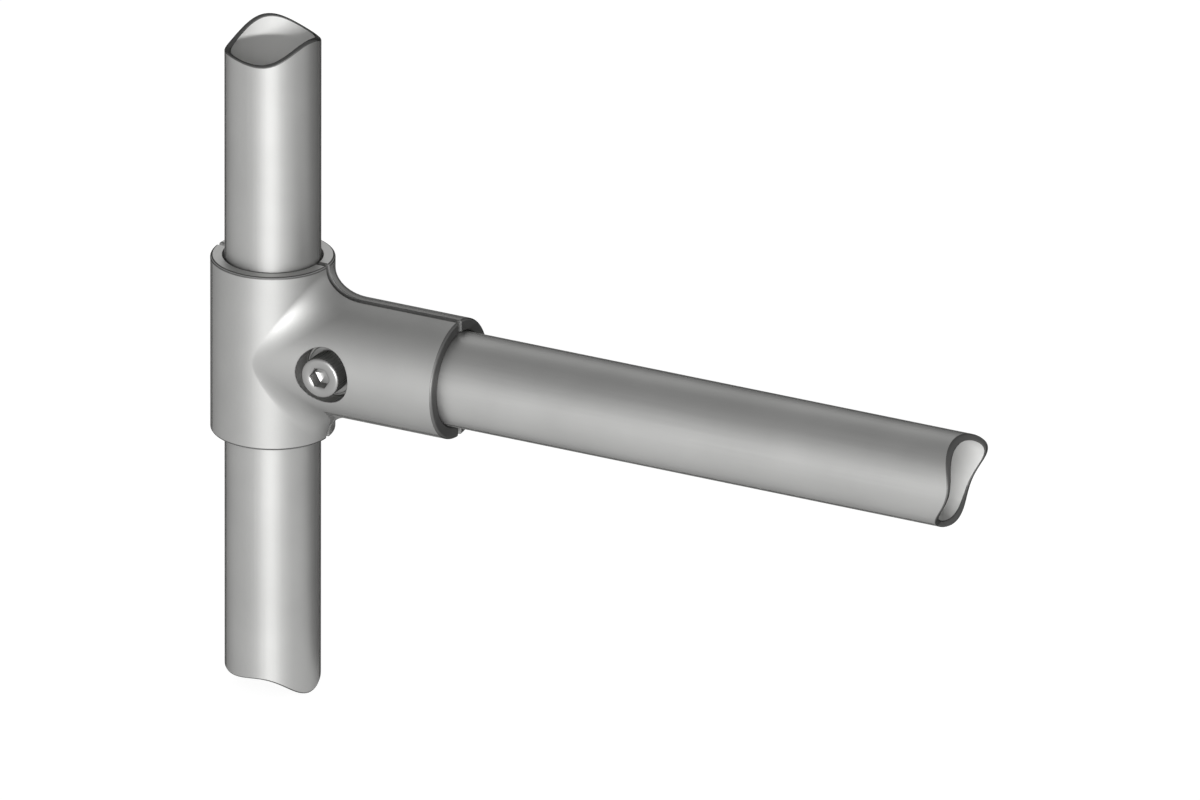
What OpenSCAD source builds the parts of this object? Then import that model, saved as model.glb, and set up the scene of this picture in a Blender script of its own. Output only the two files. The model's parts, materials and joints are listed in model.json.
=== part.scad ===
// Tee tube connector: two half shells clamp a rail to an upright tube with one screw.
// The origin is where the tubes' axes cross. +Z runs up the upright, +X along the rail,
// and the screw head faces -Y. All sizes are in millimetres.

/* [Tubes] */
// Outside diameter of both tubes
tube_d = 30; // [26:0.5:34]
// Wall of both tubes
tube_wall = 2; // [1:0.25:4]
// Length of the upright above the crossing of the axes
upright_above = 100.5; // [60:0.5:200]
// Length of the upright below the crossing of the axes
upright_below = 111.5; // [60:0.5:200]
// Free end of the rail, from the upright's axis
rail_reach = 239; // [120:1:400]

/* [Broken-off tube ends] */
// Rise of the wavy end above and below its middle
wave_rise = 3.2; // [0.5:0.1:5]
// Length of half a wave across the tube
wave_half = 16.5; // [12:0.5:30]
// Place of the wave's crossing point across the tube
wave_shift = -2.5; // [-6:0.5:6]
// Turn of the upright's waves from the rail's direction
wave_turn = 56.5; // [0:0.5:180]
// Turn of the rail's waves about its axis, from the rear over the top
rail_wave_turn = 103; // [0:0.5:180]

/* [Shells] */
// Radial clearance between a tube and its socket
socket_clearance = 0.05; // [0.02:0.01:0.1]
// Wall of the sleeve round the upright
sleeve_wall = 4.4; // [3:0.1:7]
// Height of the sleeve
sleeve_h = 58; // [50:0.5:90]
// Depth of the rail's socket in the arm
socket_depth = 27; // [15:0.5:60]
// Step by which the arm is slimmer than the sleeve, at the radius
arm_step = 0.3; // [0.15:0.05:1]
// Radius of the blend between the sleeve and the arm
blend_r = 9; // [3:0.5:12]
// Extra reach of the blend along the arm
blend_along = 3; // [0:0.5:6]
// Slit between the front and the rear shell
slit = 2; // [1:0.25:4]
// Chamfer on the rims and the socket mouths
rim_chamfer = 0.5; // [0.2:0.1:1]

/* [Screw] */
// Thread diameter
screw_d = 8; // [6:0.5:10]
// Diameter of the head
head_d = 13; // [11:0.5:16]
// Height of the head
head_h = 8; // [6:0.5:10]
// Width of the hexagon socket across its flats
key_af = 6; // [4:0.5:8]
// Depth of the hexagon socket
key_depth = 5; // [3:0.5:5.5]
// Chamfer on the head and the thread's tip
screw_chamfer = 0.8; // [0.3:0.1:1]
// Radial clearance of the thread in its holes
hole_clearance = 0.5; // [0.2:0.05:1]
// Web between the upright's socket and the screw hole
screw_web = 7.5; // [5:0.5:12]

/* [Washer] */
// Outside diameter of the washer
washer_d = 16; // [14:0.5:20]
// Thickness of the washer
washer_t = 1.6; // [1:0.1:2.5]
// Radial clearance of the thread in the washer
washer_clearance = 0.2; // [0.1:0.05:0.4]
// Radial clearance of the washer in its recess
recess_clearance = 1; // [0.3:0.05:1.5]
// Wall between the recess and the rail's socket
stop_wall = 2.5; // [2:0.25:6]
// Height of the head's top above the arm's crown
head_rise = 1.2; // [0:0.1:4]

/* [Nut] */
// Width of the nut across its flats
nut_af = 13; // [11:0.5:15]
// Height of the nut
nut_h = 6.8; // [5:0.2:8]
// Depth of the screw's tip below the arm's rear crown
tip_sink = 1.5; // [0:0.1:4]
// Length of the thread that stands past the nut
tip_past = 2.15; // [1:0.05:4]
// Clearance beside each flat of the nut
nut_clearance = 0.1; // [0.05:0.05:0.4]
// Radial clearance of the thread in the nut
thread_clearance = 0.05; // [0.02:0.01:0.1]
// Chamfer on the nut's corners
nut_chamfer = 0.9; // [0.4:0.1:1.2]

/* [Hidden] */
$fn = 96;

// Tubes and sockets
tube_r = tube_d / 2;
socket_r = tube_r + socket_clearance;
sleeve_r = socket_r + sleeve_wall;
arm_r = sleeve_r - arm_step;

// Screw, measured along Y: positive is behind the plane of the axes
hole_r = screw_d / 2 + hole_clearance;
screw_x = socket_r + screw_web + hole_r;
recess_r = washer_d / 2 + recess_clearance;
head_top_y = -(arm_r + head_rise);
head_seat_y = head_top_y + head_h;
recess_floor_y = head_seat_y + washer_t;
tip_y = arm_r - tip_sink;
nut_seat = tip_y - tip_past - nut_h;

// Nut, with a little room between its corners and the bar that chamfers them
nut_corner_r = nut_af / cos(30) / 2;
corner_room = 0.2;

// Rail socket, measured along X
stop_x = screw_x + recess_r + stop_wall;
arm_end_x = stop_x + socket_depth;

// The blend leaves a strip of plain sleeve below each rim
blend_strip = 0.3;
blend = min(blend_r, sleeve_h / 2 - rim_chamfer - arm_r - blend_strip);
// Depth by which the blend's surface dips into the sleeve and the arm
blend_dip = 0.03;
// Depth of the blend's hidden core under both surfaces
blend_core = 1.5;
blend_steps = 90;
blend_arc_steps = 10;
wave_steps = 32;
// Length by which cuts run past the faces that they open
past = 1;

// Centre of a ball that rolls round the arm and touches the sleeve and the arm
function ball(t) =
    let (y = (arm_r + blend) * sin(t))
    [sqrt(pow(sleeve_r + blend, 2) - y * y), y, (arm_r + blend) * cos(t)];

// Point on a curve from a to b that leaves both ends towards a corner
function towards_corner(a, corner, b, weight, part) =
    let (
        near = pow(1 - part, 2),
        between = 2 * weight * part * (1 - part),
        far = part * part
    )
    (near * a + between * corner + far * b) / (near + between + far);

// One section of the blend: a curve that touches the sleeve and the arm, and a point in the core
function blend_section(t) =
    let (
        centre = ball(t),
        to_sleeve = -[centre.x, centre.y, 0] / (sleeve_r + blend),
        to_arm = -[0, centre.y, centre.z] / (arm_r + blend),
        on_sleeve = centre + (blend + blend_dip) * to_sleeve,
        on_arm = centre + (blend + blend_dip) * to_arm + [blend_along, 0, 0],
        corner_x = on_sleeve.x - (on_arm.y - on_sleeve.y) * to_sleeve.y / to_sleeve.x,
        weight = cos(acos(to_sleeve * to_arm) / 2),
        core_r = arm_r - blend_core,
        crease_x = sqrt(pow(sleeve_r, 2) - pow(arm_r * sin(t), 2))
    )
    concat(
        [for (i = [0 : blend_arc_steps])
            towards_corner(on_sleeve, [corner_x, on_arm.y, on_arm.z], on_arm, weight, i / blend_arc_steps)],
        [[crease_x - blend_core, core_r * sin(t), core_r * cos(t)]]
    );

// Closed ring of the blend round the foot of the arm
module blend_ring() {
    sections = [for (i = [0 : blend_steps - 1]) blend_section(360 * i / blend_steps)];
    n = len(sections[0]);
    points = [for (section = sections) each section];
    faces = [
        for (i = [0 : blend_steps - 1], j = [0 : n - 1])
            let (
                a = i * n + j,
                b = i * n + (j + 1) % n,
                c = ((i + 1) % blend_steps) * n + (j + 1) % n,
                d = ((i + 1) % blend_steps) * n + j
            )
            each [[a, c, b], [a, d, c]]
    ];
    polyhedron(points, faces, convexity = 6);
}

// Turns what stands along Z to lie along X
module along_x() {
    rotate([0, 90, 0]) children();
}

// Turns what stands along Z to run along Y through the screw's place
module along_screw() {
    translate([screw_x, 0, 0]) rotate([-90, 0, 0]) children();
}

// Round bar from z0 to z1 with a chamfer at both ends
module chamfered_bar(r, z0, z1, chamfer0, chamfer1) {
    rotate_extrude()
        polygon([
            [0, z0], [r - chamfer0, z0], [r, z0 + chamfer0],
            [r, z1 - chamfer1], [r - chamfer1, z1], [0, z1]
        ]);
}

// Socket from z0 to z1 that flares at its mouth
module socket_cut(z0, z1) {
    translate([0, 0, z0]) cylinder(r = socket_r, h = z1 - z0 + past);
    mouth_cut(z1);
}

module mouth_cut(z) {
    translate([0, 0, z - rim_chamfer])
        cylinder(r1 = socket_r, r2 = socket_r + rim_chamfer + past, h = rim_chamfer + past);
}

// Outer form of both shells together
module tee_form() {
    chamfered_bar(sleeve_r, -sleeve_h / 2, sleeve_h / 2, rim_chamfer, rim_chamfer);
    along_x() chamfered_bar(arm_r, 0, arm_end_x, 0, rim_chamfer);
    blend_ring();
}

// Space on one side of the slit: -1 is the front, 1 the rear
module half_space(side) {
    depth = 2 * sleeve_r;
    translate([-depth, side > 0 ? slit / 2 : -slit / 2 - depth, -sleeve_h])
        cube([arm_end_x + 2 * depth, depth, 2 * sleeve_h]);
}

// One half of the casting, with both sockets and the screw hole
module half_shell(side) {
    difference() {
        intersection() {
            tee_form();
            half_space(side);
        }
        translate([0, 0, -sleeve_h / 2 - past]) cylinder(r = socket_r, h = sleeve_h + 2 * past);
        mouth_cut(sleeve_h / 2);
        mirror([0, 0, 1]) mouth_cut(sleeve_h / 2);
        along_x() socket_cut(stop_x, arm_end_x);
        along_screw() cylinder(r = hole_r, h = 4 * sleeve_r, center = true);
    }
}

// Tube along Z with wavy ends; a rise of 0 leaves an end square
module broken_tube(z0, z1, rise0, rise1, turn) {
    half_w = tube_r + past;
    steps = [for (i = [0 : wave_steps]) -half_w + 2 * half_w * i / wave_steps];
    wave = function (t) sin(180 * (t - wave_shift) / wave_half);
    low = rise0 == 0 ? [[half_w, z0], [-half_w, z0]] : [for (t = steps) [-t, z0 - rise0 * wave(-t)]];
    high = rise1 == 0 ? [[-half_w, z1], [half_w, z1]] : [for (t = steps) [t, z1 + rise1 * wave(t)]];
    intersection() {
        difference() {
            translate([0, 0, z0 - rise0]) cylinder(r = tube_r, h = z1 - z0 + rise0 + rise1);
            translate([0, 0, z0 - rise0 - past])
                cylinder(r = tube_r - tube_wall, h = z1 - z0 + rise0 + rise1 + 2 * past);
        }
        rotate([90, 0, turn])
            linear_extrude(height = 2 * tube_d, center = true)
                polygon(concat(high, low));
    }
}

module upright_tube() {
    color([0.72, 0.72, 0.71])
        broken_tube(-upright_below, upright_above, wave_rise, wave_rise, wave_turn);
}

module rail_tube() {
    color([0.70, 0.70, 0.69])
        along_x() broken_tube(stop_x, rail_reach, 0, wave_rise, 90 + rail_wave_turn);
}

module front_shell() {
    color([0.66, 0.66, 0.65])
        difference() {
            half_shell(-1);
            along_screw()
                translate([0, 0, recess_floor_y - 2 * sleeve_r])
                    cylinder(r = recess_r, h = 2 * sleeve_r);
        }
}

module rear_shell() {
    pocket_r = nut_corner_r + nut_clearance / cos(30);
    color([0.64, 0.64, 0.63])
        difference() {
            half_shell(1);
            along_screw()
                translate([0, 0, nut_seat])
                    cylinder(r = pocket_r, h = 2 * sleeve_r, $fn = 6);
        }
}

// Socket head cap screw, standing along its axis from the head's top to the tip
module clamp_screw() {
    shank_r = screw_d / 2;
    head_r = head_d / 2;
    color([0.55, 0.55, 0.56])
        along_screw()
            difference() {
                rotate_extrude()
                    polygon([
                        [0, head_top_y], [head_r - screw_chamfer, head_top_y],
                        [head_r, head_top_y + screw_chamfer], [head_r, head_seat_y],
                        [shank_r, head_seat_y], [shank_r, tip_y - screw_chamfer],
                        [shank_r - screw_chamfer, tip_y], [0, tip_y]
                    ]);
                translate([0, 0, head_top_y - past])
                    cylinder(d = key_af / cos(30), h = key_depth + past, $fn = 6);
            }
}

module washer() {
    color([0.60, 0.60, 0.61])
        along_screw()
            translate([0, 0, head_seat_y])
                difference() {
                    cylinder(d = washer_d, h = washer_t);
                    translate([0, 0, -past])
                        cylinder(r = screw_d / 2 + washer_clearance, h = washer_t + 2 * past);
                }
}

module clamp_nut() {
    color([0.55, 0.55, 0.56])
        along_screw()
            difference() {
                intersection() {
                    translate([0, 0, nut_seat]) cylinder(r = nut_corner_r, h = nut_h, $fn = 6);
                    chamfered_bar(
                        nut_corner_r + corner_room, nut_seat, nut_seat + nut_h,
                        nut_chamfer + corner_room, nut_chamfer + corner_room
                    );
                }
                translate([0, 0, nut_seat - past])
                    cylinder(r = screw_d / 2 + thread_clearance, h = nut_h + 2 * past);
            }
}

upright_tube();
rail_tube();
front_shell();
rear_shell();
clamp_screw();
washer();
clamp_nut();
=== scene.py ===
import json
import math

import bmesh
import bpy
from mathutils import Matrix, Quaternion, Vector


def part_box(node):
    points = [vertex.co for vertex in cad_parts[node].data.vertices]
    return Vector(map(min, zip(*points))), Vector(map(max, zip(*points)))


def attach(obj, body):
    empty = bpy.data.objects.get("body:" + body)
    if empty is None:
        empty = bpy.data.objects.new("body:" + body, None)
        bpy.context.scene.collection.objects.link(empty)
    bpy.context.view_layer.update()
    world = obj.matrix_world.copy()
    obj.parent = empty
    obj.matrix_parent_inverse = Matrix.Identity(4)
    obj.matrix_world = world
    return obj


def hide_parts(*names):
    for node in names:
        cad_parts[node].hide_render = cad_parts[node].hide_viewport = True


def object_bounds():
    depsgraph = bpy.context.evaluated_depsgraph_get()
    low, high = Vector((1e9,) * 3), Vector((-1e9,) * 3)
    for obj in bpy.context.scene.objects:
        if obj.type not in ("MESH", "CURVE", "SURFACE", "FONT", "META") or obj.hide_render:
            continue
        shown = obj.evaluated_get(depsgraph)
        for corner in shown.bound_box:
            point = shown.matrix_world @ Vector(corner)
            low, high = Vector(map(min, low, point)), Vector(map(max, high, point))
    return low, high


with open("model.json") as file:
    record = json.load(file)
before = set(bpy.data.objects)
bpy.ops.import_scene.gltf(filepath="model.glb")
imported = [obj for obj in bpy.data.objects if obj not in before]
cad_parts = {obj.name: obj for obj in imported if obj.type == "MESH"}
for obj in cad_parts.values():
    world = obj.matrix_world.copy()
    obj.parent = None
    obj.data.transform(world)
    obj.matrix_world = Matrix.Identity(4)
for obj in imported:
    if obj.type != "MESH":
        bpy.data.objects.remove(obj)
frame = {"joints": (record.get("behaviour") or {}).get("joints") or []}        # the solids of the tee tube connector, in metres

# Box of the solids, on whose bottom the floor lies
CAD_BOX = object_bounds()
MM = 0.001

# Points closer than this, in metres, are one point; edges shorter than the second are dropped
SAME_POINT, NO_EDGE = 1e-7, 1e-8
# How far the middle of a round edge lies inside its corner, as a share of the rounding
ROUND_MIDDLE = 0.3
BEVEL_ANGLE = math.radians(35)

# Places and sizes that the solids give
REAR_LO, REAR_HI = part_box("rear_shell")
SCREW_LO, SCREW_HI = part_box("clamp_screw")
WASHER_LO, WASHER_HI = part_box("washer")
NUT_LO, NUT_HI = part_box("clamp_nut")
UPRIGHT_LO, UPRIGHT_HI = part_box("upright_tube")
RAIL_LO, RAIL_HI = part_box("rail_tube")
TUBE_R = UPRIGHT_HI.x
SCREW_JOINT = next(j for j in frame["joints"] if j["name"] == "screw_turn")
SCREW_X = SCREW_JOINT["pos_m"][0]
HALF_SLIT = REAR_LO.y
HALF_SLEEVE = REAR_HI.z
ARM_END_X = REAR_HI.x
SLEEVE_R = REAR_HI.y
HEAD_R = SCREW_HI.z
HEAD_TOP_Y = SCREW_LO.y
TIP_Y = SCREW_HI.y
HEAD_SEAT_Y = WASHER_LO.y
RECESS_FLOOR_Y = WASHER_HI.y
WASHER_R = WASHER_HI.z
NUT_SEAT_Y = NUT_LO.y
NUT_TOP_Y = NUT_HI.y
NUT_AF = NUT_HI.z - NUT_LO.z

# Sizes of the tubes, and the places of their materials in their list of materials: the outside, the sawn
# ends in painted shade, and the inside in painted light
TUBE_WALL = 2 * MM
TUBE_INNER_R = TUBE_R - TUBE_WALL
TUBE_ROUND = 0.5 * MM
WAVE_RISE, WAVE_HALF, WAVE_SHIFT = 3.2 * MM, 16.5 * MM, -2.5 * MM
UPRIGHT_TURN, RAIL_TURN = math.radians(56.5), math.radians(193)
OUTSIDE, PAINTED_DARK_SAWN, INSIDE = range(3)

# Sizes of the casting
SOCKET_R = TUBE_R + 0.05 * MM
ARM_R = SLEEVE_R - 0.3 * MM
BLEND_R = 9 * MM
BLEND_ALONG = 3 * MM
RIM = 0.5 * MM
RECESS_R = 9 * MM
HOLE_R = 4.5 * MM
POCKET_AF = NUT_AF + 0.2 * MM
EDGE_ROUND = 0.25 * MM
PAST = 2 * MM
BORE_STEPS, RECESS_STEPS, HOLE_STEPS, HEXAGON_SIDES = 160, 96, 64, 6

# Sizes of the fasteners
THREAD_R = 4.0 * MM
THREAD_PITCH = 1.25 * MM
THREAD_DEPTH = 0.61 * MM
THREAD_CLEARANCE = 0.05 * MM
KEY_AF = 6 * MM
KEY_DEPTH = 5 * MM
KNURLS = 40
KNURL_DEPTH = 0.16 * MM
WASHER_STEPS = 96
FASTENER_ROUND = 0.06 * MM

# Places a form that stands along Z along the rail or along the screw
ALONG_RAIL = Matrix.Rotation(math.radians(90), 4, "Y")
ALONG_SCREW = Matrix.Translation((SCREW_X, 0, 0)) @ Matrix.Rotation(math.radians(-90), 4, "X")


def circle(radius, z, steps):
    return [
        Vector((radius * math.cos(a), radius * math.sin(a), z))
        for a in (2 * math.pi * i / steps for i in range(steps))
    ]


def hexagon_radius(across_flats, angle):
    """Distance from the axis to a hexagon with a corner at angle 0."""
    sixth = math.pi / 3
    return across_flats / 2 / math.cos(angle % sixth - sixth / 2)


def ring_surface(rings):
    """Skin over a stack of rings; a ring of one point closes an end."""
    bm = bmesh.new()
    rows = [[bm.verts.new(p) for p in ring] for ring in rings]
    for low, high in zip(rows, rows[1:]):
        steps = max(len(low), len(high))
        for i in range(steps):
            j = (i + 1) % steps
            corners = [low[i % len(low)], low[j % len(low)], high[j % len(high)], high[i % len(high)]]
            bm.faces.new(list(dict.fromkeys(corners)))
    return bm


def lathe(profile, steps):
    """Closed round form from (radius, height) pairs, from bottom to top; radius 0 is a pole."""
    return ring_surface([[Vector((0, 0, z))] if r == 0 else circle(r, z, steps) for r, z in profile])


def finished(name, bm, place=Matrix()):
    """Object made from a bmesh, with its faces turned outwards."""
    bm.transform(place)
    bmesh.ops.remove_doubles(bm, verts=bm.verts, dist=SAME_POINT)
    bmesh.ops.dissolve_degenerate(bm, edges=bm.edges, dist=NO_EDGE)
    bmesh.ops.recalc_face_normals(bm, faces=bm.faces)
    mesh = bpy.data.meshes.new(name)
    bm.to_mesh(mesh)
    bm.free()
    piece = bpy.data.objects.new(name, mesh)
    bpy.context.scene.collection.objects.link(piece)
    return piece


def cut(piece, cutter_form, place=Matrix()):
    """Takes a form away from a piece."""
    cutter = finished("cutter", cutter_form, place)
    modifier = piece.modifiers.new("cut", "BOOLEAN")
    modifier.operation = "DIFFERENCE"
    modifier.solver = "EXACT"
    modifier.object = cutter
    graph = bpy.context.evaluated_depsgraph_get()
    mesh = bpy.data.meshes.new_from_object(piece.evaluated_get(graph))
    piece.modifiers.remove(modifier)
    spent = piece.data
    piece.data = mesh
    bpy.data.meshes.remove(spent)
    bpy.data.meshes.remove(cutter.data)


def smooth(piece):
    """Smooth shading that keeps flat faces flat."""
    piece.data.shade_smooth()
    piece.modifiers.new("even_shading", "WEIGHTED_NORMAL").keep_sharp = True


def rounded(piece, width, segments=2, edge_material=0):
    """Small round edges, which may take their own material, and smooth shading."""
    bevel = piece.modifiers.new("round_edges", "BEVEL")
    bevel.width = width
    bevel.segments = segments
    bevel.limit_method = "ANGLE"
    bevel.angle_limit = BEVEL_ANGLE
    bevel.use_clamp_overlap = False
    bevel.material = edge_material
    smooth(piece)


# Tubes with wavy ends, as they were broken off

TUBE_AROUND = 144


def broken_tube(low, high, turn):
    """Tube along Z with round edges at its ends.
    low and high give each end's level and the rise of its waves, turn the waves' direction."""
    middle = ROUND_MIDDLE * TUBE_ROUND
    bands = [
        (TUBE_R, TUBE_ROUND), (TUBE_R - middle, middle), (TUBE_R - TUBE_ROUND, 0),
        (TUBE_INNER_R + TUBE_ROUND, 0), (TUBE_INNER_R + middle, middle), (TUBE_INNER_R, TUBE_ROUND),
    ]

    def ring(end, side, radius, inset):
        level, rise = end
        points = circle(radius, level, TUBE_AROUND)
        for p in points:
            across = p.x * math.cos(turn) + p.y * math.sin(turn)
            p.z += side * (rise * math.sin(math.pi * (across - WAVE_SHIFT) / WAVE_HALF) - inset)
        return points

    rings = [ring(high, 1, *band) for band in bands] + [ring(low, -1, *band) for band in bands[::-1]]
    bm = ring_surface(rings + rings[:1])
    ends = len(bands) - 1
    # The sawn ends and their round rims are painted near black, painted shade; the inside carries painted
    # light.
    band_materials = [PAINTED_DARK_SAWN] * ends + [INSIDE] + [PAINTED_DARK_SAWN] * ends + [OUTSIDE]
    for i, face in enumerate(bm.faces):
        face.material_index = band_materials[i // TUBE_AROUND]
    return bm


# Half of the tee's outer form, behind the slit

AROUND = 90
BLEND_STEPS = 14
BACK_STEPS = 60
SLIT_TRIES = 20
ROLL_SLEEVE = SLEEVE_R + BLEND_R
ROLL_ARM = ARM_R + BLEND_R


def blend_point(turn, part):
    """Point on the blend.
    turn is the angle round the arm from its top, part runs from 0 at the arm to 1 at the sleeve."""
    y = ROLL_ARM * math.sin(turn)
    ball = Vector((math.sqrt(ROLL_SLEEVE ** 2 - y * y), y, ROLL_ARM * math.cos(turn)))
    to_arm = -Vector((0, ball.y, ball.z)) / ROLL_ARM
    to_sleeve = -Vector((ball.x, ball.y, 0)) / ROLL_SLEEVE
    on_arm = ball + BLEND_R * to_arm + Vector((BLEND_ALONG, 0, 0))
    on_sleeve = ball + BLEND_R * to_sleeve
    corner = on_arm.copy()
    corner.x = on_sleeve.x - (on_arm.y - on_sleeve.y) * to_sleeve.y / to_sleeve.x
    weight = math.cos(to_arm.angle(to_sleeve) / 2)
    near, between, far = (1 - part) ** 2, 2 * weight * part * (1 - part), part ** 2
    return (near * on_arm + between * corner + far * on_sleeve) / (near + between + far)


def first_turn(part):
    """Turn at which the blend leaves the slit."""
    turn = HALF_SLIT / ARM_R
    for _ in range(SLIT_TRIES):
        turn *= HALF_SLIT / blend_point(turn, part).y
    return turn


def half_tee():
    """Half of the tee without its bores, closed along the slit."""
    bm = bmesh.new()

    def spread(start, i):
        return start + (math.pi - 2 * start) * i / AROUND

    def arm_row(x, r):
        start = math.asin(HALF_SLIT / r)
        turns = [spread(start, i) for i in range(AROUND + 1)]
        return [bm.verts.new((x, r * math.sin(t), r * math.cos(t))) for t in turns]

    def blend_row(part):
        start = first_turn(part)
        return [bm.verts.new(blend_point(spread(start, i), part)) for i in range(AROUND + 1)]

    def skin(low, high):
        for a, b, c, d in zip(low, low[1:], high[1:], high):
            bm.faces.new((a, b, c, d))

    parts = [i / BLEND_STEPS for i in range(BLEND_STEPS + 1)]
    rows = [arm_row(ARM_END_X, ARM_R - RIM), arm_row(ARM_END_X - RIM, ARM_R)]
    rows += [blend_row(part) for part in parts]
    for low, high in zip(rows, rows[1:]):
        skin(low, high)

    # Sleeve: its plain back runs on from the blend's foremost point,
    # and strips rise and fall from the line where the blend meets it
    contact = rows[-1]
    half = AROUND // 2
    foremost = math.atan2(contact[half].co.y, contact[half].co.x)

    def rim_angles(r):
        edge = math.asin(HALF_SLIT / r)
        turned = [math.atan2(v.co.y, v.co.x) for v in contact[: half + 1]]
        ease = edge - turned[0]
        beside = [a + ease * (1 - i / half) for i, a in enumerate(turned)]
        behind = [foremost + (math.pi - edge - foremost) * i / BACK_STEPS for i in range(1, BACK_STEPS + 1)]
        return beside + behind

    def sleeve_row(r, z):
        return [bm.verts.new((r * math.cos(a), r * math.sin(a), z)) for a in rim_angles(r)]

    crown = [contact[half]] + sleeve_row(SLEEVE_R, 0)[half + 1:]
    for side, strip in ((1, contact[: half + 1]), (-1, contact[half:][::-1])):
        shoulder = sleeve_row(SLEEVE_R, side * (HALF_SLEEVE - RIM))
        rim = sleeve_row(SLEEVE_R - RIM, side * HALF_SLEEVE)
        skin(strip + crown[1:], shoulder)
        skin(shoulder, rim)
        bm.faces.new(rim)
    bm.faces.new(rows[0])
    bmesh.ops.delete(bm, geom=[v for v in bm.verts if not v.link_faces], context="VERTS")
    open_edges = [e for e in bm.edges if e.is_boundary]
    bmesh.ops.edgeloop_fill(bm, edges=open_edges)
    return bm


# Places of the casting's materials in its list of materials: the blasted casting, the painted shade and
# dark outlines, and the lighter one with painted light
BLASTED, PAINTED_DARK, MACHINED_PAINTED_LIGHT = range(3)
# A face whose normal's Z is past this counts as level
FLAT = 0.99


def shell(name, side):
    """One half of the casting: side 1 is the rear, -1 the front.
    Its rims and recess have a machining finish, set lighter as painted light against the recess's shade,
    and its arm's end is painted near black, painted shade."""
    piece = finished(name, half_tee(), Matrix.Diagonal((1, side, 1, 1)))
    mouth = SOCKET_R + RIM + PAST
    bore_end = HALF_SLEEVE + PAST
    cut(piece, lathe(
        [
            (0, -bore_end), (mouth, -bore_end), (SOCKET_R, -HALF_SLEEVE + RIM),
            (SOCKET_R, HALF_SLEEVE - RIM), (mouth, bore_end), (0, bore_end),
        ],
        BORE_STEPS,
    ))
    cut(piece, lathe(
        [
            (0, RAIL_LO.x), (SOCKET_R, RAIL_LO.x), (SOCKET_R, ARM_END_X - RIM),
            (mouth, ARM_END_X + PAST), (0, ARM_END_X + PAST),
        ],
        BORE_STEPS,
    ), ALONG_RAIL)
    reach = SLEEVE_R + PAST
    hole = lathe([(0, -reach), (HOLE_R, -reach), (HOLE_R, reach), (0, reach)], HOLE_STEPS)
    cut(piece, hole, ALONG_SCREW)
    if side < 0:
        pocket = lathe(
            [(0, -reach), (RECESS_R, -reach), (RECESS_R, RECESS_FLOOR_Y), (0, RECESS_FLOOR_Y)], RECESS_STEPS
        )
    else:
        corner = hexagon_radius(POCKET_AF, 0)
        pocket = lathe([(0, NUT_SEAT_Y), (corner, NUT_SEAT_Y), (corner, reach), (0, reach)], HEXAGON_SIDES)
    cut(piece, pocket, ALONG_SCREW)
    for face in piece.data.polygons:
        from_screw = math.hypot(face.center.x - SCREW_X, face.center.z)
        at_rim = abs(face.normal.z) > FLAT and abs(face.center.z) > HALF_SLEEVE - RIM / 2
        in_recess = side < 0 and HOLE_R < from_screw < RECESS_R + RIM / 2
        # Rims and recess take the lighter material, painted light against the recess's shade; the arm's end
        # takes painted shade.
        if at_rim or in_recess:
            face.material_index = MACHINED_PAINTED_LIGHT
        elif face.center.x > ARM_END_X - RIM / 2:
            face.material_index = PAINTED_DARK
    return piece


# Thread that the screw and the nut share

THREAD_AROUND = 48
# Share of the pitch and share of the depth at the corners of one ridge
THREAD_SECTION = ((0, 1), (0.125, 1), (0.4375, 0), (0.6875, 0))
# How fast the thread rises out of the screw's neck
RUN_OUT = 0.4
# How far a point may be off the loop that it is looked for on
LOOP_SLACK = 1e-6


def thread_skin(bm, y0, y1, clearance, limit):
    """Right-hand thread from y0 to y1 along the screw; limit(y, radius) shapes its run-out at both ends."""
    rows = []
    for turn in range(math.floor(y0 / THREAD_PITCH) - 1, math.ceil(y1 / THREAD_PITCH) + 1):
        for share, height in THREAD_SECTION:
            row = []
            for i in range(THREAD_AROUND + 1):
                angle = 2 * math.pi * i / THREAD_AROUND
                y = min(max(THREAD_PITCH * (turn + share + i / THREAD_AROUND), y0), y1)
                radius = limit(y, THREAD_R - THREAD_DEPTH * (1 - height) + clearance)
                row.append(bm.verts.new((radius * math.cos(angle), radius * math.sin(angle), y)))
            rows.append(row)
    for low, high in zip(rows, rows[1:]):
        for corners in zip(low, low[1:], high[1:], high):
            bm.faces.new(corners)
    bmesh.ops.remove_doubles(bm, verts=bm.verts, dist=SAME_POINT)


def loop_at(bm, y, radius):
    """Points of the loop that has a radius at one level, in order round the axis."""
    level = [v for v in bm.verts if abs(v.co.z - y) < SAME_POINT]
    loop = [v for v in level if abs(v.co.xy.length - radius) < LOOP_SLACK]
    return sorted(loop, key=lambda v: (math.atan2(v.co.y, v.co.x) + LOOP_SLACK) % (2 * math.pi))


def join_loops(bm, coarse, fine):
    """Flat ring between two loops, of which one has a whole number of times the other's points."""
    times = len(fine) // len(coarse)
    for i, corner in enumerate(coarse):
        stretch = [fine[(i * times + k) % len(fine)] for k in range(times + 1)]
        bm.faces.new([corner] + stretch + [coarse[(i + 1) % len(coarse)]])


def polar_ring(steps, radius, y):
    """Ring whose radius and level may change with the angle."""
    ring = []
    for i in range(steps):
        a = 2 * math.pi * i / steps
        r = radius(a) if callable(radius) else radius
        ring.append(Vector((r * math.cos(a), r * math.sin(a), y(a) if callable(y) else y)))
    return ring


# Outline of the screw's head in mm, inwards from its side and down from its top:
# the round edge over the knurl, the knurl's ends, and the plain edge under it
HEAD_TOP_EDGE = ((0.9, 0), (0.5, 0.1), (0.2, 0.35))
KNURL_TOP, KNURL_FOOT = 0.8, 7.2
HEAD_FOOT_EDGE = ((0.2, 7.5), (0.2, 7.8))
KNURL_STEPS = 6


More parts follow.
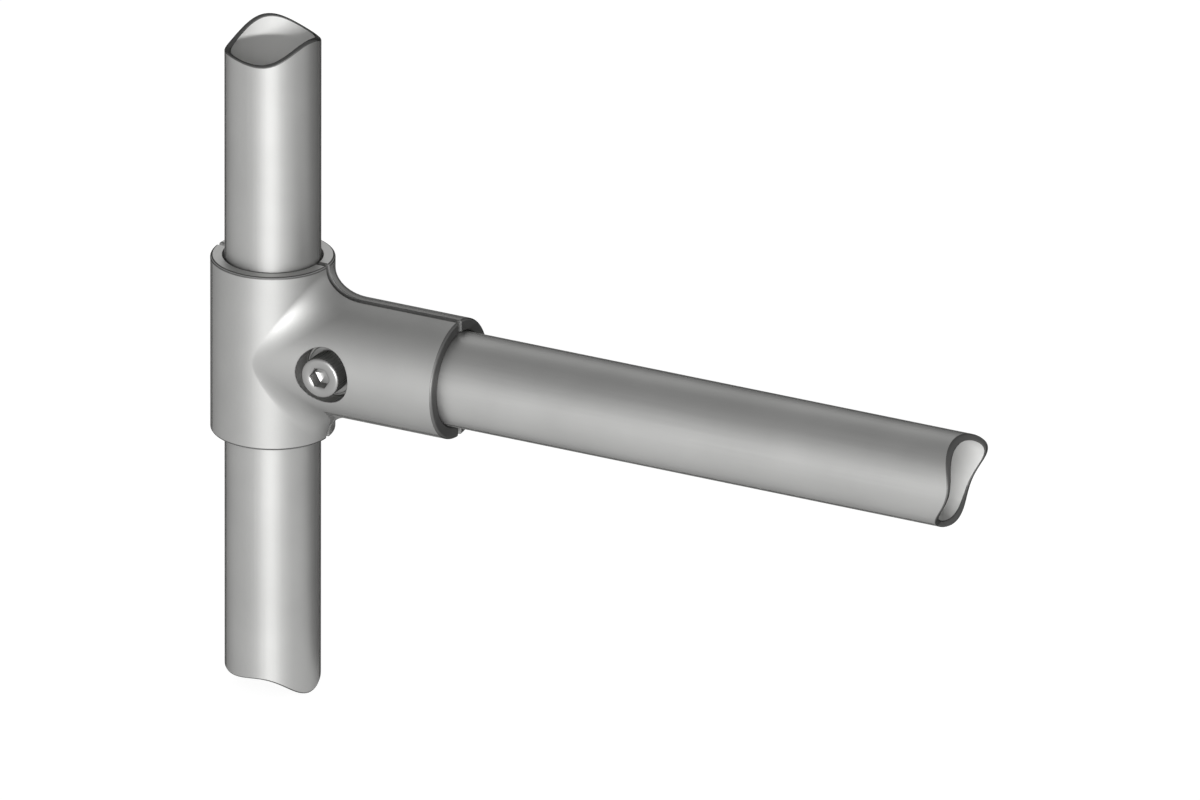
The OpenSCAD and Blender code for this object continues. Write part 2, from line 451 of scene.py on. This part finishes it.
def socket_screw():
    """Cap screw along Z: its head is knurled and has a hexagon socket, and its shank is threaded."""
    steps = KNURLS * KNURL_STEPS
    sink_r = 3.7 * MM
    sink_slope = math.tan(math.radians(30))
    drill_cone = 0.9 * MM
    neck_r = THREAD_R - THREAD_DEPTH
    tip_r = 2.9 * MM
    seat_r = HEAD_R - 0.4 * MM

    def key(a):
        return hexagon_radius(KEY_AF, a)

    def knurled(a):
        ridge = abs(a / (2 * math.pi) * KNURLS % 1 * 2 - 1)
        return HEAD_R - KNURL_DEPTH * ridge

    def head_ring(inset, depth):
        return polar_ring(steps, HEAD_R - inset * MM, HEAD_TOP_Y + depth * MM)

    bm = ring_surface([
        [Vector((0, 0, HEAD_TOP_Y + KEY_DEPTH))],
        polar_ring(steps, key, HEAD_TOP_Y + KEY_DEPTH - drill_cone),
        polar_ring(steps, key, lambda a: HEAD_TOP_Y + (sink_r - key(a)) * sink_slope),
        polar_ring(steps, sink_r, HEAD_TOP_Y),
        *(head_ring(*corner) for corner in HEAD_TOP_EDGE),
        *(polar_ring(steps, knurled, HEAD_TOP_Y + depth * MM) for depth in (KNURL_TOP, KNURL_FOOT)),
        *(head_ring(*corner) for corner in HEAD_FOOT_EDGE),
        polar_ring(steps, seat_r, HEAD_SEAT_Y),
    ])

    def limit(y, radius):
        return min(radius, tip_r + TIP_Y - y, neck_r + (y - HEAD_SEAT_Y) * RUN_OUT)

    thread_skin(bm, HEAD_SEAT_Y, TIP_Y, 0, limit)
    join_loops(bm, loop_at(bm, HEAD_SEAT_Y, neck_r), loop_at(bm, HEAD_SEAT_Y, seat_r))
    bm.faces.new(loop_at(bm, TIP_Y, tip_r))
    return bm


def hex_nut():
    """Nut along Z with chamfered corners and a countersunk thread."""
    steps = 2 * THREAD_AROUND
    sink_r = THREAD_R + 0.35 * MM
    face_r = NUT_AF / 2 - 0.3 * MM
    slope = math.tan(math.radians(30))

    def side(a):
        return hexagon_radius(NUT_AF, a)

    def drop(a):
        return (side(a) - face_r) * slope

    bm = ring_surface([
        polar_ring(steps, face_r, NUT_SEAT_Y),
        polar_ring(steps, side, lambda a: NUT_SEAT_Y + drop(a)),
        polar_ring(steps, side, lambda a: NUT_TOP_Y - drop(a)),
        polar_ring(steps, face_r, NUT_TOP_Y),
    ])

    def limit(y, radius):
        return max(radius, sink_r - min(y - NUT_SEAT_Y, NUT_TOP_Y - y))

    thread_skin(bm, NUT_SEAT_Y, NUT_TOP_Y, THREAD_CLEARANCE, limit)
    for y in (NUT_SEAT_Y, NUT_TOP_Y):
        join_loops(bm, loop_at(bm, y, sink_r), loop_at(bm, y, face_r))
    return bm


def plain_washer():
    """Stamped washer along Z: soft at its upper outer edge, crisp at the others."""
    hole = THREAD_R + 0.2 * MM
    crisp, soft = 0.1 * MM, 0.3 * MM
    middle = soft * ROUND_MIDDLE
    top, base = HEAD_SEAT_Y, RECESS_FLOOR_Y
    return lathe(
        [
            (hole, top + crisp), (hole + crisp, top), (WASHER_R - soft, top),
            (WASHER_R - middle, top + middle), (WASHER_R, top + soft), (WASHER_R, base - crisp),
            (WASHER_R - crisp, base), (hole + crisp, base), (hole, base - crisp), (hole, top + crisp),
        ],
        WASHER_STEPS,
    )


# Materials

METALLIC = 0.9
EDGE_TINT = 0.0
GRAIN_DETAIL, CLOUD_DETAIL = 4, 3
CLOUD_SCALE = 45
GRAIN_SHARE = 0.3
# Stretches of the noise over which the tone and the gloss change
TONE_FROM, TONE_TO = 0.45, 0.85
GLOSS_FROM, GLOSS_TO = 0.3, 0.7
RELIEF_DEPTH = 0.05 * MM
# Blue of a grey, next to its red and green
WARMTH = 0.985


def material(name):
    made = bpy.data.materials.new(name)
    made.use_nodes = True
    return made, made.node_tree.nodes, made.node_tree.links


def satin_metal(name, dark, light, gloss, grain_size, relief, metallic=METALLIC):
    """Satin metal with soft clouds in its tone and a fine grain in its gloss and relief.
    gloss is the least and the most roughness, and relief the strength of the grain's bumps.
    grain_size is the grain's length along X, Y and Z; a long size in one direction draws it into lines."""
    made, nodes, links = material(name)
    shader = nodes["Principled BSDF"]
    shader.inputs["Metallic"].default_value = metallic
    shader.inputs["Specular IOR Level"].default_value = 0
    shader.inputs["Specular Tint"].default_value = (EDGE_TINT, EDGE_TINT, EDGE_TINT, 1)
    place = nodes.new("ShaderNodeTexCoord")
    stretch = nodes.new("ShaderNodeMapping")
    stretch.inputs["Scale"].default_value = [1 / size for size in grain_size]
    grain = nodes.new("ShaderNodeTexNoise")
    grain.inputs["Scale"].default_value = 1
    grain.inputs["Detail"].default_value = GRAIN_DETAIL
    clouds = nodes.new("ShaderNodeTexNoise")
    clouds.inputs["Scale"].default_value = CLOUD_SCALE
    clouds.inputs["Detail"].default_value = CLOUD_DETAIL
    both = nodes.new("ShaderNodeMath")
    both.operation = "MULTIPLY_ADD"
    both.inputs[1].default_value = GRAIN_SHARE
    tone = nodes.new("ShaderNodeValToRGB")
    tone.color_ramp.elements[0].position = TONE_FROM
    tone.color_ramp.elements[0].color = (*dark, 1)
    tone.color_ramp.elements[1].position = TONE_TO
    tone.color_ramp.elements[1].color = (*light, 1)
    rough = nodes.new("ShaderNodeMapRange")
    rough.inputs["From Min"].default_value = GLOSS_FROM
    rough.inputs["From Max"].default_value = GLOSS_TO
    rough.inputs["To Min"].default_value = gloss[0]
    rough.inputs["To Max"].default_value = gloss[1]
    bump = nodes.new("ShaderNodeBump")
    bump.inputs["Strength"].default_value = relief
    bump.inputs["Distance"].default_value = RELIEF_DEPTH
    links.new(place.outputs["Object"], stretch.inputs["Vector"])
    links.new(stretch.outputs["Vector"], grain.inputs["Vector"])
    links.new(place.outputs["Object"], clouds.inputs["Vector"])
    links.new(grain.outputs["Fac"], both.inputs[0])
    links.new(clouds.outputs["Fac"], both.inputs[2])
    links.new(both.outputs["Value"], tone.inputs["Fac"])
    links.new(tone.outputs["Color"], shader.inputs["Base Color"])
    links.new(grain.outputs["Fac"], rough.inputs["Value"])
    links.new(rough.outputs["Result"], shader.inputs["Roughness"])
    links.new(grain.outputs["Fac"], bump.inputs["Height"])
    links.new(bump.outputs["Normal"], shader.inputs["Normal"])
    return made


def grey(level):
    """Neutral grey with the slight warmth of the photographed metal."""
    return (level, level, level * WARMTH)


def clouded(tone):
    """Darkest and lightest grey of a metal's clouds."""
    return grey(tone - TONE_SPREAD / 2), grey(tone + TONE_SPREAD / 2)


# The rail is lighter than the upright, though both tubes are one metal: painted light.
UPRIGHT_TONE, RAIL_TONE, CAST_TONE = 0.37, 0.40, 0.365
INSIDE_PAINTED_LIGHT_TONE, PAINTED_DARK_SAWN_TONE, MACHINED_PAINTED_LIGHT_TONE = 0.66, 0.13, 0.62
PAINTED_DARK_TONES, ZINC_TONES = (0.12, 0.17), (0.26, 0.32)
TONE_SPREAD = 0.03
TUBE_GLOSS = 0.43, 0.49
DRAWN_LINE, DRAWN_WIDTH = 60 * MM, 0.35 * MM
CAST_GRAIN = (0.3 * MM,) * 3
ZINC_GRAIN = (0.15 * MM,) * 3
upright_metal = satin_metal(
    "drawn_aluminium_upright", *clouded(UPRIGHT_TONE), gloss=TUBE_GLOSS,
    grain_size=(DRAWN_WIDTH, DRAWN_WIDTH, DRAWN_LINE), relief=0.12,
)
rail_metal = satin_metal(
    "drawn_aluminium_rail", *clouded(RAIL_TONE), gloss=TUBE_GLOSS,
    grain_size=(DRAWN_LINE, DRAWN_WIDTH, DRAWN_WIDTH), relief=0.12,
)
# Painted shade: the sawn ends of the tubes, near black.
painted_dark_sawn_metal = satin_metal(
    "sawn_aluminium_painted_dark", *clouded(PAINTED_DARK_SAWN_TONE), gloss=(0.5, 0.6), grain_size=CAST_GRAIN, relief=0.2
)
# Partly real, partly painted light: a matt mill finish inside the tubes, its grey set pale so that the
# inside's shade comes out lit.
mill_painted_light_metal = satin_metal(
    "mill_finish_aluminium_painted_light", *clouded(INSIDE_PAINTED_LIGHT_TONE), gloss=(0.6, 0.7), grain_size=CAST_GRAIN, relief=0.12,
    metallic=0.1,
)
cast_metal = satin_metal(
    "cast_aluminium", *clouded(CAST_TONE), gloss=(0.50, 0.58), grain_size=CAST_GRAIN, relief=0.22
)
# Partly real, partly painted light: a machining finish on rims and recess, its grey set pale so that the
# recess in its shade comes out lit.
machined_painted_light = satin_metal(
    "machined_aluminium_painted_light", *clouded(MACHINED_PAINTED_LIGHT_TONE), gloss=(0.40, 0.50), grain_size=CAST_GRAIN, relief=0.1
)
# Painted shade: a near black grey on the arm's end, and painted dark outlines on the casting's round edges.
painted_dark_edge = satin_metal(
    "cast_aluminium_painted_dark", *map(grey, PAINTED_DARK_TONES), gloss=(0.46, 0.56), grain_size=CAST_GRAIN, relief=0.1
)
zinc = satin_metal(
    "zinc_plated_steel", *map(grey, ZINC_TONES), gloss=(0.34, 0.44), grain_size=ZINC_GRAIN, relief=0.1
)

# Pieces, each with its body, the node that it stands for, its slot and its metals

front = shell("front_casting", -1)
rear = shell("rear_casting", 1)
screw = finished("socket_screw", socket_screw(), ALONG_SCREW)
washer = finished("plain_washer", plain_washer(), ALONG_SCREW)
nut = finished("hex_nut", hex_nut(), ALONG_SCREW)
upright = finished("upright_pipe", broken_tube(
    (UPRIGHT_LO.z + WAVE_RISE, WAVE_RISE), (UPRIGHT_HI.z - WAVE_RISE, WAVE_RISE), UPRIGHT_TURN,
))
rail = finished("rail_pipe", broken_tube(
    (RAIL_LO.x, 0), (RAIL_HI.x - WAVE_RISE, WAVE_RISE), RAIL_TURN,
), ALONG_RAIL)
for piece, body, node, slot, metals in (
    (front, "front_clamp", "front_shell", "casting", (cast_metal, painted_dark_edge, machined_painted_light)),
    (rear, "rear_clamp", "rear_shell", "casting", (cast_metal, painted_dark_edge, machined_painted_light)),
    (screw, "screw", "clamp_screw", "fastener", (zinc,)),
    (washer, "front_clamp", "washer", "fastener", (zinc,)),
    (nut, "rear_clamp", "clamp_nut", "fastener", (zinc,)),
    (upright, "upright", "upright_tube", "tube", (upright_metal, painted_dark_sawn_metal, mill_painted_light_metal)),
    (rail, "rail", "rail_tube", "tube", (rail_metal, painted_dark_sawn_metal, mill_painted_light_metal)),
):
    for metal in metals:
        piece.data.materials.append(metal)
    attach(piece, body)
    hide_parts(node)
# The castings' round edges take the painted dark material: painted dark outlines.
for piece in (front, rear):
    rounded(piece, EDGE_ROUND, edge_material=PAINTED_DARK)
for piece in (screw, washer, nut):
    rounded(piece, FASTENER_ROUND)
for piece in (upright, rail):
    smooth(piece)


# Camera: a long lens at the photograph's viewing angle

AZIMUTH, ELEVATION = 27.4, 22.7
FRAME_WIDTH = 372 * MM
FRAME_RIGHT, FRAME_UP = 101.5 * MM, -18.0 * MM
ROLL = math.radians(0.25)
LENS, SENSOR = 1000, 36
CLIP_END = 100


def outwards(azimuth, elevation):
    """Direction away from the origin, by angles in degrees from the camera's side."""
    a, e = math.radians(AZIMUTH + azimuth), math.radians(elevation)
    return Vector((math.sin(a) * math.cos(e), -math.cos(a) * math.cos(e), math.sin(e)))


RIGHT, BACK = outwards(90, 0), outwards(0, ELEVATION)
UP = BACK.cross(RIGHT)
camera = bpy.data.objects.new("camera", bpy.data.cameras.new("camera"))
bpy.context.scene.collection.objects.link(camera)
camera.data.lens = LENS
camera.data.sensor_width = SENSOR
camera.data.clip_end = CLIP_END
camera.location = RIGHT * FRAME_RIGHT + UP * FRAME_UP + BACK * (FRAME_WIDTH * LENS / SENSOR)
camera.rotation_euler = ((-BACK).to_track_quat("-Z", "Y") @ Quaternion((0, 0, 1), ROLL)).to_euler()
bpy.context.scene.camera = camera


# Studio: a white floor, soft light from the camera's side and from behind, and a darker ceiling

PALE = 0.8


def seen_by_eye(nodes, links):
    """1 where a surface is looked at, directly, mirrored or through glass,
    and 0 where it only lights others."""
    path = nodes.new("ShaderNodeLightPath")
    mirrored = nodes.new("ShaderNodeMath")
    mirrored.operation = "MAXIMUM"
    seen = nodes.new("ShaderNodeMath")
    seen.operation = "MAXIMUM"
    links.new(path.outputs["Is Camera Ray"], mirrored.inputs[0])
    links.new(path.outputs["Is Glossy Ray"], mirrored.inputs[1])
    links.new(mirrored.outputs["Value"], seen.inputs[0])
    links.new(path.outputs["Is Transmission Ray"], seen.inputs[1])
    return seen.outputs["Value"]


def white_ground(name, lit_share, glow):
    """White to the eye and in reflections; to other light a plain pale surface.
    lit_share is how much of its white takes shadows, and glow the rest."""
    made, nodes, links = material(name)
    nodes.remove(nodes["Principled BSDF"])
    plain = nodes.new("ShaderNodeBsdfDiffuse")
    plain.inputs["Color"].default_value = (PALE, PALE, PALE, 1)
    shaded = nodes.new("ShaderNodeBsdfDiffuse")
    shaded.inputs["Color"].default_value = (lit_share, lit_share, lit_share, 1)
    light = nodes.new("ShaderNodeEmission")
    light.inputs["Strength"].default_value = glow
    white = nodes.new("ShaderNodeAddShader")
    pick = nodes.new("ShaderNodeMixShader")
    links.new(shaded.outputs["BSDF"], white.inputs[0])
    links.new(light.outputs["Emission"], white.inputs[1])
    links.new(seen_by_eye(nodes, links), pick.inputs["Fac"])
    links.new(plain.outputs["BSDF"], pick.inputs[1])
    links.new(white.outputs["Shader"], pick.inputs[2])
    links.new(pick.outputs["Shader"], nodes["Material Output"].inputs["Surface"])
    return made


FLOOR_HALF, FLOOR_CELLS = 30, 8
floor_form = bmesh.new()
bmesh.ops.create_grid(floor_form, x_segments=FLOOR_CELLS, y_segments=FLOOR_CELLS, size=FLOOR_HALF)
floor = finished("floor", floor_form, Matrix.Translation((0, 0, CAD_BOX[0].z)))
floor.data.materials.append(white_ground("white_floor", lit_share=0.2, glow=0.94))


# Dark card: it lies on the floor, to the right and behind, and shows in reflections alone, where it paints
# shade on the object's right flanks

CARD_FROM, CARD_TO, CARD_STEPS = 88, 152, 16
CARD_NEAR, CARD_FAR, CARD_LIFT = 30 * MM, 2500 * MM, 0.5 * MM
CARD_TONES = 0.42, 0.44


def fan():
    """Flat sector round the origin."""
    bm = bmesh.new()
    ways = [outwards(CARD_FROM + (CARD_TO - CARD_FROM) * i / CARD_STEPS, 0) for i in range(CARD_STEPS + 1)]
    rows = [[bm.verts.new(way * reach) for reach in (CARD_NEAR, CARD_FAR)] for way in ways]
    for (a, b), (c, d) in zip(rows, rows[1:]):
        bm.faces.new((a, b, d, c))
    return bm


card = finished("dark_card", fan(), Matrix.Translation((0, 0, CAD_BOX[0].z + CARD_LIFT)))
card.data.materials.append(satin_metal(
    "matt_card", *map(grey, CARD_TONES), gloss=(0.9, 1.0), grain_size=CAST_GRAIN, relief=0.1, metallic=0.0
))
card.visible_camera = False
card.visible_diffuse = False
card.visible_shadow = False


def softbox(name, azimuth, elevation, distance, width, height, power):
    """Area lamp that faces the origin, placed by angles from the camera's side."""
    out = outwards(azimuth, elevation)
    lamp = bpy.data.lights.new(name, "AREA")
    lamp.shape = "RECTANGLE"
    lamp.size, lamp.size_y = width, height
    lamp.energy = power
    holder = bpy.data.objects.new(name, lamp)
    bpy.context.scene.collection.objects.link(holder)
    holder.location = out * distance
    holder.rotation_euler = out.to_track_quat("Z", "Y").to_euler()
    holder.visible_camera = False


softbox("front_light", azimuth=-5.5, elevation=0.9, distance=12, width=6.0, height=0.4, power=1300)
softbox("high_light", azimuth=-10, elevation=30, distance=2.2, width=1.0, height=1.0, power=10)
softbox("back_light", azimuth=182, elevation=0.9, distance=12, width=6.6, height=0.4, power=850)
softbox("high_back_light", azimuth=180, elevation=40, distance=2.2, width=1.0, height=1.0, power=3)

# Levels of the surroundings at the horizon and overhead: as they are seen, and as they light the object
SEEN_LEVELS = 1.0, 0.4
LIGHT_LEVELS = 0.05, 0.4
# Height of a direction, from 0 to 1, from which the overhead level holds
OVERHEAD = 0.7
world = bpy.data.worlds.new("studio")
bpy.context.scene.world = world
world.use_nodes = True
nodes, links = world.node_tree.nodes, world.node_tree.links
place = nodes.new("ShaderNodeTexCoord")
parts = nodes.new("ShaderNodeSeparateXYZ")
pick = nodes.new("ShaderNodeMixRGB")
links.new(place.outputs["Generated"], parts.inputs["Vector"])
for levels, socket in ((LIGHT_LEVELS, "Color1"), (SEEN_LEVELS, "Color2")):
    level = nodes.new("ShaderNodeMapRange")
    level.inputs["From Max"].default_value = OVERHEAD
    level.inputs["To Min"].default_value, level.inputs["To Max"].default_value = levels
    links.new(parts.outputs["Z"], level.inputs["Value"])
    links.new(level.outputs["Result"], pick.inputs[socket])
links.new(seen_by_eye(nodes, links), pick.inputs["Fac"])
links.new(pick.outputs["Color"], nodes["Background"].inputs["Color"])
bpy.context.scene.view_settings.view_transform = "Standard"
